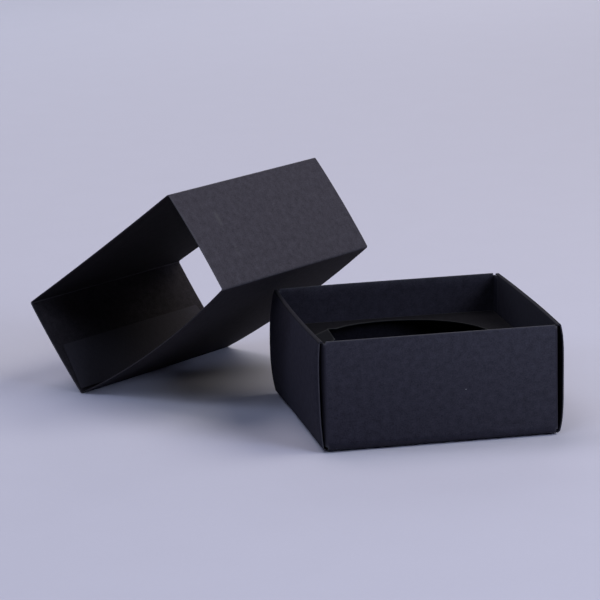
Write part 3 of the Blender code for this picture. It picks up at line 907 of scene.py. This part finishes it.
class MakeSideWalls(bpy.types.Operator):
    """Makes the rolled side walls: an outer panel, a rim strip and an inner panel with lock tabs"""

    bl_idname = "presentation_box.make_side_walls"
    bl_label = "Rolled side walls"

    def execute(self, context):
        board, tray = settings().board, settings().tray
        outer_x = half_width()
        roll = Path((outer_x - tray.bottom_fold, 0), 0.0)
        roll.fold(tray.bottom_fold, math.pi / 2)
        outer_run = roll.run(tray.height - tray.rim_fold - tray.bottom_fold)
        outer_head = outer_run - board.crease_gap / 2
        roll.fold(tray.rim_fold, math.pi / 2)
        roll.run(outer_x - inner_face() - 2 * tray.rim_fold)
        inner_head = roll.fold(tray.rim_fold, math.pi / 2) + board.crease_gap / 2
        foot = roll.run(tray.height - tray.rim_fold)
        lock_head = foot - board.thickness - board.seat_gap
        middle = (outer_head + inner_head) / 2
        half = side_half_length()
        rows = spread(-half, half)
        inner_half = half - tray.end_room
        inner_rows = spread(-inner_half, inner_half, lock_tab_ends())
        panels = (
            # name, start, end, one more column, rows, facing, painted shade of face and back, wear
            # Painted shade: the outer panel a little darker, the rim strip's top nearly black and
            # the inner panel's face darker than the shaded inside colour.
            ("outer_wall", 0.0, outer_head, (), rows, (1, 0, 0), (0.85, 1), 0.8),
            ("rim_strip", outer_head, inner_head, (), rows, (0, 0, 1), (1.8, 1), 0.3),
            ("inner_wall", inner_head, foot, (lock_head,), inner_rows, (-1, 0, 0), (1.25, 1), 1.0),
        )
        sides = (
            ("right", 0.0, tray.right_curl, tray.right_fullness),
            ("left", math.pi, tray.left_curl, tray.left_fullness),
        )
        for side_name, turn, curl, fullness in sides:

            def place(along, y):
                x, z = roll.at(along)
                bow = side_bow(y, z)
                front_y = y if side_name == "right" else -y
                end_share = max(0.0, 1 - (half + front_y) / tray.curl_reach)
                swelling = 0.0
                if along < middle:
                    swelling = side_bulge(z, fullness) * (1 - curl * end_share**2)
                if side_name == "left" and along < outer_head:
                    swelling += left_flare(-y, z)
                if side_name == "right":
                    swelling = min(swelling, OUTER_BOX[1].x - x - bow)
                return tray_point((x + bow + swelling, y, z), turn)

            for panel_name, start, end, also, panel_rows, facing, within, wear in panels:
                make_panel(
                    f"tray_{side_name}_{panel_name}",
                    "tray",
                    roll.steps(start, end, also),
                    panel_rows,
                    place,
                    turned(facing, turn),
                    joined=[border for border in (start, end) if border != foot],
                    keep=lambda along, y: along < lock_head or in_lock_tab(y),
                    crest=lambda along, y: roll.crest(along),
                    origin=(turn + 0.5, 2),
                    within=within,
                    wear=wear,
                )
        return {"FINISHED"}


def thumb_axes():
    """The way out from the hole's centre to the thumb tab, and the way along its crease."""
    bearing = settings().insert.thumb_bearing
    out = Vector((math.cos(bearing), math.sin(bearing), 0))
    return out, Vector((-out.y, out.x, 0))


def thumb_splay():
    """How far each side of the thumb tab spreads, by distance from its crease."""
    insert = settings().insert
    return (insert.thumb_tip - insert.thumb_crease) / 2 / insert.thumb_length


ARCH_SLOPE = 2.5  # how soon the platform's arch is full, going in from its edges


def platform_top(x, y):
    """The height of the platform: it arches up round the hole, but not at the thumb tab."""
    insert = settings().insert
    side = insert.half_width - insert.fold
    middle = (1 - (x / side) ** 2) * (1 - (y / insert.half_depth) ** 2)
    crease = thumb_axes()[0].xy * (insert.hole_radius + insert.thumb_setback)
    away = (Vector((x - insert.hole_x, y - insert.hole_y)) - crease).length / insert.thumb_crease
    return insert.top + insert.rise * held(away) ** 2 * held(ARCH_SLOPE * middle)


SPOKES, RINGS = 240, 9
MOUTH_ROUNDS = 20  # rounds in which the corner between the hole and the notch is found
SPOKE_ROOM = 0.004  # radians that an even spoke stays clear of a corner's own spoke


class MakePlatform(bpy.types.Operator):
    """Makes the raised platform round its hole, with the notch that the thumb tab is cut from"""

    bl_idname = "presentation_box.make_platform"
    bl_label = "Insert platform"

    def execute(self, context):
        board, insert = settings().board, settings().insert
        centre = Vector((insert.hole_x, insert.hole_y))
        side = insert.half_width - insert.fold
        deep = insert.half_depth
        radius = insert.hole_radius
        crease = radius + insert.thumb_setback
        bearing = insert.thumb_bearing
        root = insert.thumb_crease / 2 + board.crease_gap
        lean = thumb_splay()

        def notch_half(radius_out):
            return root + lean * (crease - radius_out)

        corner_turn = math.atan2(root, crease)
        mouth_turn = corner_turn
        for _ in range(MOUTH_ROUNDS):
            mouth_turn = math.asin(notch_half(radius * math.cos(mouth_turn)) / radius)

        def off_bearing(turn):
            return abs((turn - bearing + math.pi) % math.tau - math.pi)

        def inner_reach(turn):
            off = off_bearing(turn)
            if off <= corner_turn + 1e-9:
                return crease / math.cos(off)
            if off < mouth_turn:
                return (root + lean * crease) / (math.sin(off) + lean * math.cos(off))
            return radius

        def outer_reach(turn):
            way = Vector((math.cos(turn), math.sin(turn)))
            reaches = []
            for axis, limit in ((0, side), (1, deep)):
                if abs(way[axis]) > 1e-9:
                    reaches.append((math.copysign(limit, way[axis]) - centre[axis]) / way[axis])
            return min(reaches)

        corners = [Vector((x, y)) - centre for x in (-side, side) for y in (-deep, deep)]
        marks = [math.atan2(corner.y, corner.x) for corner in corners]
        marks += [bearing + sign * off for sign in (-1, 1) for off in (corner_turn, mouth_turn)]
        marks = [turn % math.tau for turn in marks]
        even = [math.tau * step / SPOKES for step in range(SPOKES)]
        clear = [turn for turn in even if min(abs(turn - mark) for mark in marks) > SPOKE_ROOM]
        turns = tidy(clear + marks, 0, math.tau)
        turns.append(turns[0] + math.tau)
        steps = [0.0, *NEAR_CUT, *range(2, RINGS + 2)]

        def place(turn, step):
            inner, outer = inner_reach(turn), outer_reach(turn)
            if step <= 1:
                reach = inner + step * board.worn_width
            else:
                plain = outer - inner - board.worn_width
                reach = inner + board.worn_width + plain * (step - 1) / RINGS
            x = centre.x + reach * math.cos(turn)
            y = centre.y + reach * math.sin(turn)
            return (x, y, platform_top(x, y))

        def joined(turn, step):
            at_crease = step == 0 and off_bearing(turn) < corner_turn
            at_seam = turn in (turns[0], turns[-1])
            at_leg = step == steps[-1] and abs(abs(place(turn, step)[0]) - side) < SAME_PLACE
            return at_crease or at_seam or at_leg

        node = "insert_platform"
        # Painted shade: the platform's top is darkened most of the way towards the insert's shaded
        # copy.
        piece = make_sheet(node, turns, steps, place, (0, 0, 1), joined, within=(0.6, 1))
        self.close_ring(piece, centre)
        stand_for(piece, node, "insert")
        return {"FINISHED"}

    def close_ring(self, piece, centre):
        """Joins the ring's first and last line, and lays the grain of the card straight across."""
        ring = bmesh.new()
        ring.from_mesh(piece.data)
        bmesh.ops.remove_doubles(ring, verts=ring.verts[:], dist=5 * SAME_PLACE)
        seam = {vert for vert in ring.verts if abs(vert.co.y - centre.y) < 10 * SAME_PLACE}
        for edge in ring.edges:
            if seam.issuperset(edge.verts):
                edge.smooth = True
        inside = [face for face in ring.faces if seam.issuperset(face.verts)]
        bmesh.ops.delete(ring, geom=inside, context="FACES_ONLY")
        blank = ring.verts.layers.float_vector["blank"]
        for vert in ring.verts:
            vert[blank] = (vert.co.x, vert.co.y + 3, vert[blank].z)
        ring.to_mesh(piece.data)
        ring.free()


class MakeLegs(bpy.types.Operator):
    """Makes the insert's two legs and the folds that they hang from"""

    bl_idname = "presentation_box.make_legs"
    bl_label = "Insert legs"

    def execute(self, context):
        board, insert = settings().board, settings().insert
        side_x = insert.half_width
        edge = Path((side_x - insert.fold, insert.top), 0.0)
        edge.fold(insert.fold, -math.pi / 2)
        head = edge.run(board.crease_gap / 2)
        head_z = edge.end.y
        drop = head_z - LEG_BOX[0].z
        leg_half = insert.half_depth - insert.shoulder
        for side_name, side in (("left", -1), ("right", 1)):

            def place_fold(along, y):
                x, z = edge.at(along)
                return (side * x, y, z)

            fold = make_sheet(
                f"insert_{side_name}_fold",
                edge.steps(0.0, head),
                spread(-insert.half_depth, insert.half_depth, (-leg_half, leg_half)),
                place_fold,
                (side, 0, 0),
                joined=lambda along, y: along == 0 or (along == head and abs(y) < leg_half),
                crest=lambda along, y: edge.crest(along),
                origin=(side, 4),
            )
            inner = side_x - insert.fold
            layers = (0, board.thickness)
            starts = [Vector((side * inner, 0, insert.top - off)) for off in layers]
            ends = [Vector((side * (side_x - off), 0, head_z)) for off in layers]
            bend_piece(fold, f"insert_{side_name}_leg_fold", starts, ends)

            def place_leg(depth, y_share):
                half = leg_half - insert.taper * depth / drop
                return (side * side_x, y_share * half, head_z - depth)

            make_panel(
                f"insert_{side_name}_leg",
                f"insert_{side_name}_leg",
                spread(0.0, drop, (), (False, True)),
                [y / leg_half for y in spread(-leg_half, leg_half)],
                place_leg,
                (side, 0, 0),
                joined=(0,),
                origin=(side, 5),
            )
        return {"FINISHED"}


THUMB_COLUMNS = 12


class MakeThumbTab(bpy.types.Operator):
    """Makes the thumb tab, bent down into the hole on its own crease"""

    bl_idname = "presentation_box.make_thumb_tab"
    bl_label = "Thumb tab"

    def execute(self, context):
        board, insert = settings().board, settings().insert
        out, sideways = thumb_axes()
        crease = insert.hole_radius + insert.thumb_setback
        root = Vector((insert.hole_x, insert.hole_y, insert.top)) + out * crease
        section = Path((0, 0), 0.0)
        bent = section.fold(board.thickness, -insert.thumb_bend)
        seam = section.run(board.crease_gap / 2)
        tip = section.run(board.crease_gap / 2 + insert.thumb_length)
        splay = thumb_splay()

        def place(along, side_share):
            inwards, up = section.at(along)
            gone = max(0.0, along - bent) - board.crease_gap
            half = insert.thumb_crease / 2 + splay * gone
            return root - out * inwards + sideways * (half * side_share) + Vector((0, 0, up))

        shares = [2 * step / THUMB_COLUMNS - 1 for step in range(THUMB_COLUMNS + 1)]
        # Painted shade: the back of the tab's fold is darkened part of the way towards the insert's
        # shaded copy.
        strip = make_sheet(
            "insert_thumb_tab_fold",
            section.steps(0.0, seam),
            shares,
            place,
            (0, 0, 1),
            joined=(0, seam),
            crest=lambda along, side_share: section.crest(along),
            origin=(0, 6),
            within=(0, 0.6),
            ridge=0.0,
        )
        bend = insert.thumb_bend
        face = -out * math.cos(bend) + Vector((0, 0, -math.sin(bend)))
        normal = -out * math.sin(bend) + Vector((0, 0, math.cos(bend)))
        hinge = root + Vector((0, 0, -board.thickness))
        start = hinge + face * (board.crease_gap / 2)
        ends = [start, start + normal * board.thickness]
        bend_piece(strip, "thumb_tab_bend", [root, hinge], ends)
        # Painted shade: the tab's back is darkened part of the way towards the insert's shaded
        # copy.
        make_panel(
            "insert_thumb_tab",
            "thumb_tab",
            section.steps(seam, tip, near_cut(tip, -1)),
            shares,
            place,
            (0, 0, 1),
            joined=(seam,),
            origin=(0, 7),
            within=(0, 0.6),
        )
        return {"FINISHED"}


class SleeveFrame:
    """The sleeve's own axes: x across the lower panel, y along the tube, z up its side."""

    def __init__(self):
        board, sleeve = settings().board, settings().sleeve
        left, right, top = (
            Vector(JOINTS[f"sleeve_{name}_fold"]["pos_m"]) for name in ("left", "right", "top")
        )
        self.along = Vector(JOINTS["sleeve_left_fold"]["axis"])
        self.across = (right - left).normalized()
        self.up = self.across.cross(self.along)
        self.length = JOINTS["sleeve_slide"]["range_m"][1]
        self.rows = spread(0.0, self.length)
        self.width = (right - left).length + board.thickness
        self.crease_height = sleeve.fold + board.crease_gap / 2
        self.origin = left - self.across * board.thickness - self.up * self.crease_height
        rise = (top - self.origin).dot(self.up)
        shift = (top - self.origin).dot(self.across)
        self.side_foot = Vector((0.0, self.crease_height))
        self.side_head = Vector((shift, rise))
        self.top_face = rise + self.crease_height

    def at(self, x, y, z):
        return self.origin + self.across * x + self.along * y + self.up * z


def swell_of_narrow(part):
    """How far a narrow panel of the sleeve swells outwards, by the share of its height."""
    return settings().sleeve.swell * arched(part)


class MakeSleevePanels(bpy.types.Operator):
    """Makes the sleeve's four panels and the four folds between them"""

    bl_idname = "presentation_box.make_sleeve_panels"
    bl_label = "Sleeve panels and folds"

    def execute(self, context):
        sleeve_frame = SleeveFrame()
        self.make_wide_panels(sleeve_frame)
        self.make_narrow_panels(sleeve_frame)
        self.make_folds(sleeve_frame)
        return {"FINISHED"}

    def make_wide_panels(self, tube):
        sleeve = settings().sleeve
        first, last = sleeve.fold, tube.width - sleeve.fold
        shift = tube.side_head.x

        def place_lower(x, y):
            depth = sleeve.near_sag + (sleeve.far_sag - sleeve.near_sag) * y / tube.length
            return tube.at(x, y, -depth * arched((x - first) / (last - first)))

        def place_top(x, y):
            wave = sleeve.wave * swell(x / tube.width, y / tube.length)
            depth = sleeve.sink * arched((x - first) / (last - first)) + wave
            return tube.at(x + shift, y, tube.top_face - depth)

        # Painted shade: the lower panel's outside face, underneath, a little darker than the shaded
        # copy, and the top panel's inside face much darker still.
        for name, body, place, facing, place_in_blank, within in (
            ("lower", "sleeve", place_lower, -tube.up, 0, (1.15, 1)),
            ("top", "sleeve_top", place_top, tube.up, 3, (0, 1.75)),
        ):
            make_panel(
                f"sleeve_{name}_panel",
                body,
                spread(first, last, (), (False, False)),
                tube.rows,
                place,
                facing,
                joined=(first, last),
                origin=(place_in_blank, 8),
                within=within,
                wear=0.6,
            )

    def make_narrow_panels(self, tube):
        sleeve = settings().sleeve
        foot, head = tube.side_foot, tube.side_head
        height = (head - foot).length
        for name, shift, side in (("left", 0.0, -1), ("right", tube.width, 1)):

            def place(rise, y):
                part = rise / height
                x, z = foot.lerp(head, part)
                wave = 0.5 * sleeve.wave * swell(part, y / tube.length)
                return tube.at(x + shift + side * (swell_of_narrow(part) - wave), y, z)

            make_panel(
                f"sleeve_{name}_panel",
                f"sleeve_{name}",
                spread(0.0, height, (), (False, False)),
                tube.rows,
                place,
                side * tube.across,
                joined=(0.0, height),
                origin=(side, 9),
            )

    def make_folds(self, tube):
        board, sleeve = settings().board, settings().sleeve
        radius, quarter = sleeve.fold, math.pi / 2
        foot, head = tube.side_foot, tube.side_head
        top_left = Vector((head.x + radius, tube.top_face))
        top_right = Vector((head.x + tube.width - radius, tube.top_face))
        lower_right = Vector((tube.width - radius, 0))
        folds = (
            # name, where its section starts and which way, turn, end, joint, ridge
            ("lower_left", Vector((radius, 0)), math.pi, -quarter, foot, "sleeve_left_fold", 1.0),
            ("lower_right", lower_right, 0.0, quarter, foot, "sleeve_right_fold", 1.0),
            ("top_left", top_left, math.pi, quarter, head, "sleeve_top_fold", 3.0),
            ("top_right", top_right, 0.0, -quarter, head, None, 1.0),
        )
        for name, start, heading, turn, narrow_end, joint, ridge in folds:
            section = Path(start, heading)
            section.fold(radius, turn)
            end = section.run(abs(narrow_end.y - section.end.y))
            outwards = 1 if "right" in name else -1
            upwards = 1 if "top" in name else -1

            def place(along, y):
                x, z = section.at(along)
                return tube.at(x, y, z)

            piece = make_sheet(
                f"sleeve_{name}_fold",
                section.steps(0.0, end),
                tube.rows,
                place,
                tube.across * outwards + tube.up * upwards,
                joined=(0.0, end),
                crest=lambda along, y: section.crest(along),
                origin=(start.x * 10, 10),
                ridge=ridge,
            )
            if joint is None:
                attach(piece, "sleeve_top")
                continue
            x, z = section.end
            layers = (0, board.thickness)
            wide = [tube.at(start.x, 0, start.y - upwards * off) for off in layers]
            narrow = [tube.at(x - outwards * off, 0, z) for off in layers]
            borders = (narrow, wide) if name == "top_left" else (wide, narrow)
            bend_piece(piece, joint, *borders)


class MakeGlueFlap(bpy.types.Operator):
    """Makes the flap that closes the tube, glued inside the left panel"""

    bl_idname = "presentation_box.make_glue_flap"
    bl_label = "Glue flap"

    def execute(self, context):
        board, sleeve = settings().board, settings().sleeve
        tube = SleeveFrame()
        side = tube.side_head - tube.side_foot
        rise = side.normalized()
        inwards = Vector((rise.y, -rise.x))
        layers = 2 * board.thickness + board.layer_gap

        def place(reach, length_share):
            inset = sleeve.flap_inset + sleeve.flap_taper * reach / sleeve.flap_width
            depth = layers - swell_of_narrow(reach / side.length)
            x, z = tube.side_foot + rise * reach + inwards * depth
            return tube.at(x, inset + (tube.length - 2 * inset) * length_share, z)

        make_panel(
            "sleeve_glue_flap",
            "sleeve_left",
            spread(sleeve.flap_start, sleeve.flap_width),
            [y / tube.length for y in tube.rows],
            place,
            tube.across,
            origin=(5, 11),
            # Painted light: the flap's face inside the tube is kept near the card's outside colour,
            # paler than the other shaded inside faces.
            within=(0.2, 1),
            wear=0.3,
        )
        return {"FINISHED"}


LAMP_AIM = Vector((-0.02, 0.03, 0.03))
LAMPS = (
    # name, bearing and height in degrees, width in metres, colour, power in watts
    ("front", 40, 26, 0.7, (0.705, 0.785, 1.0), 10.96),
    ("front_left", -40, 50, 0.9, (0.731, 0.810, 1.0), 4.35),
    ("right", 80, 50, 0.9, (1.0, 0.953, 0.845), 10.78),
    ("left", -100, 30, 0.45, (0.687, 0.783, 1.0), 3.79),
    ("top", -160, 68, 0.9, (1.0, 0.907, 0.874), 6.58),
    ("rear_left", -160, 22, 0.9, (0.792, 0.902, 1.0), 3.79),
    ("rear_right", 160, 22, 0.9, (1.0, 0.986, 0.976), 4.26),
)
FLOOR_RINGS, FLOOR_SIDES = 40, 96
FLOOR_GRAIN, FLOOR_CLOUD = (900, 3.0, 0.6), (40, 2.0)
FLOOR_GRAIN_SHARE = 0.6
FLOOR_SWING = 0.03  # how far the floor's tone goes to either side of its own colour


def way_to(bearing, height):
    """The way from the box to a place at a bearing from its front and a height, both angles."""
    level = math.cos(height)
    return Vector((math.sin(bearing) * level, -math.cos(bearing) * level, math.sin(height)))


class SetStage(bpy.types.Operator):
    """Lays the floor and sets the lamps, the surrounding light and the camera"""

    bl_idname = "presentation_box.set_stage"
    bl_label = "Floor, light and camera"

    def execute(self, context):
        self.lay_floor()
        self.set_lamps()
        self.set_sky()
        self.set_camera()
        bpy.context.scene.view_settings.view_transform = "Standard"
        return {"FINISHED"}

    def lay_floor(self):
        stage = settings().stage
        radii = [ring * stage.floor_ring for ring in range(1, FLOOR_RINGS + 1)]
        radii.append(stage.floor_radius)
        turns = [math.tau * step / FLOOR_SIDES for step in range(FLOOR_SIDES)]
        points = [Vector()]
        points += [Vector((r * math.cos(t), r * math.sin(t), 0)) for r in radii for t in turns]
        pairs = [(step + 1, (step + 1) % FLOOR_SIDES + 1) for step in range(FLOOR_SIDES)]
        faces = [(0, first, second) for first, second in pairs]
        for ring in range(len(radii) - 1):
            near, far = ring * FLOOR_SIDES, (ring + 1) * FLOOR_SIDES
            faces += [(near + a, far + a, far + b, near + b) for a, b in pairs]
        sleeve = SleeveFrame()
        for point in points:
            run = (point - sleeve.origin).dot(sleeve.along)
            nearest = sleeve.at(0, min(max(run, 0.0), sleeve.length), 0)
            away = ((point - nearest).xy.length - stage.floor_touch) / stage.floor_slope
            point.z = -stage.floor_drop * eased(held(away))
        mesh = bpy.data.meshes.new("floor")
        mesh.from_pydata(points, [], faces)
        mesh.polygons.foreach_set("use_smooth", [True] * len(mesh.polygons))
        paper = Shading(bpy.data.materials.new("floor_paper"))
        place = paper.node("ShaderNodeTexCoord", {}, {}, "Object")
        tones = [scaled(tuple(stage.floor), 1 + swing) for swing in (-FLOOR_SWING, FLOOR_SWING)]
        grain, cloud = paper.noise(place, *FLOOR_GRAIN), paper.noise(place, *FLOOR_CLOUD)
        shade = grain * FLOOR_GRAIN_SHARE + cloud * (1 - FLOOR_GRAIN_SHARE)
        surface = {
            "Base Color": paper.mix(shade, *tones),
            "Roughness": 0.95,
            "Specular IOR Level": 0.0,
        }
        shader = paper.node("ShaderNodeBsdfPrincipled", {}, surface)
        paper.node("ShaderNodeOutputMaterial", {}, {"Surface": shader})
        mesh.materials.append(paper.owner)
        add_object("floor", mesh)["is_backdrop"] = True

    def set_lamps(self):
        for name, bearing, height, width, tint, power in LAMPS:
            lamp = bpy.data.lights.new(f"{name}_lamp", "AREA")
            lamp.shape = "DISK"
            lamp.size = width
            lamp.color = tint
            lamp.energy = power
            holder = add_object(f"{name}_lamp", lamp)
            way = way_to(math.radians(bearing), math.radians(height))
            holder.location = LAMP_AIM + way * settings().stage.lamp_distance
            holder.visible_camera = False
            holder.rotation_mode = "QUATERNION"
            holder.rotation_quaternion = (-way).to_track_quat("-Z", "Y")

    def set_sky(self):
        stage = settings().stage
        world = bpy.data.worlds.new("surroundings")
        bpy.context.scene.world = world
        sky = Shading(world)
        seen = 0.0
        for output in ("Is Camera Ray", "Is Glossy Ray", "Is Transmission Ray"):
            seen = sky.node("ShaderNodeLightPath", {}, {}, output) + seen
        glow = sky.mix(seen, scaled(stage.sky, stage.sky_share), tuple(stage.sky))
        even = sky.node("ShaderNodeBackground", {}, {"Color": glow, "Strength": 1.0})
        sky.node("ShaderNodeOutputWorld", {}, {"Surface": even})

    def set_camera(self):
        stage = settings().stage
        back = way_to(stage.azimuth, stage.elevation)
        right = Vector((0, 0, 1)).cross(back).normalized()
        above = back.cross(right)
        tilt = Matrix((right, above, back)).transposed() @ Matrix.Rotation(stage.roll, 3, "Z")
        place = Matrix.Translation(Vector(stage.target) + back * stage.distance)
        camera = add_object("camera", bpy.data.cameras.new("camera"))
        camera.data.lens = stage.lens
        camera.data.clip_start, camera.data.clip_end = 0.01, 20
        camera.matrix_world = place @ tilt.to_4x4()
        bpy.context.scene.camera = camera


OPERATORS = (
    MakeTrayBase,
    MakeEndWalls,
    MakeSideWalls,
    MakePlatform,
    MakeLegs,
    MakeThumbTab,
    MakeSleevePanels,
    MakeGlueFlap,
    SetStage,
)
GROUPS = (
    BoardProperties,
    TrayProperties,
    InsertProperties,
    SleeveProperties,
    FinishProperties,
    StageProperties,
    BoxProperties,
)


class PresentationBoxPanel(bpy.types.Panel):
    """Sizes, colours and steps of the presentation box"""

    bl_idname = "VIEW3D_PT_presentation_box"
    bl_label = "Presentation box"
    bl_space_type = "VIEW_3D"
    bl_region_type = "UI"
    bl_category = "Presentation box"

    def draw(self, context):
        layout = self.layout
        for operator in OPERATORS:
            layout.operator(operator.bl_idname)
        for name in ("board", "tray", "insert", "sleeve", "finish", "stage"):
            group = getattr(context.scene.presentation_box, name)
            box = layout.box()
            box.label(text=name.capitalize())
            for key in group.bl_rna.properties.keys():
                if key not in ("rna_type", "name"):
                    box.prop(group, key)


def register():
    for group in GROUPS + OPERATORS + (PresentationBoxPanel,):
        bpy.utils.register_class(group)
    bpy.types.Scene.presentation_box = PointerProperty(type=BoxProperties)


def unregister():
    del bpy.types.Scene.presentation_box
    for group in reversed(GROUPS + OPERATORS + (PresentationBoxPanel,)):
        bpy.utils.unregister_class(group)


def main():
    register()
    for operator in OPERATORS:
        family, step = operator.bl_idname.split(".")
        getattr(getattr(bpy.ops, family), step)()
    sizes = {"cad": CAD_BOX, "visual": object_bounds()}
    {name: [list(corner) for corner in box] for name, box in sizes.items()}


if __name__ == "__main__":
    main()
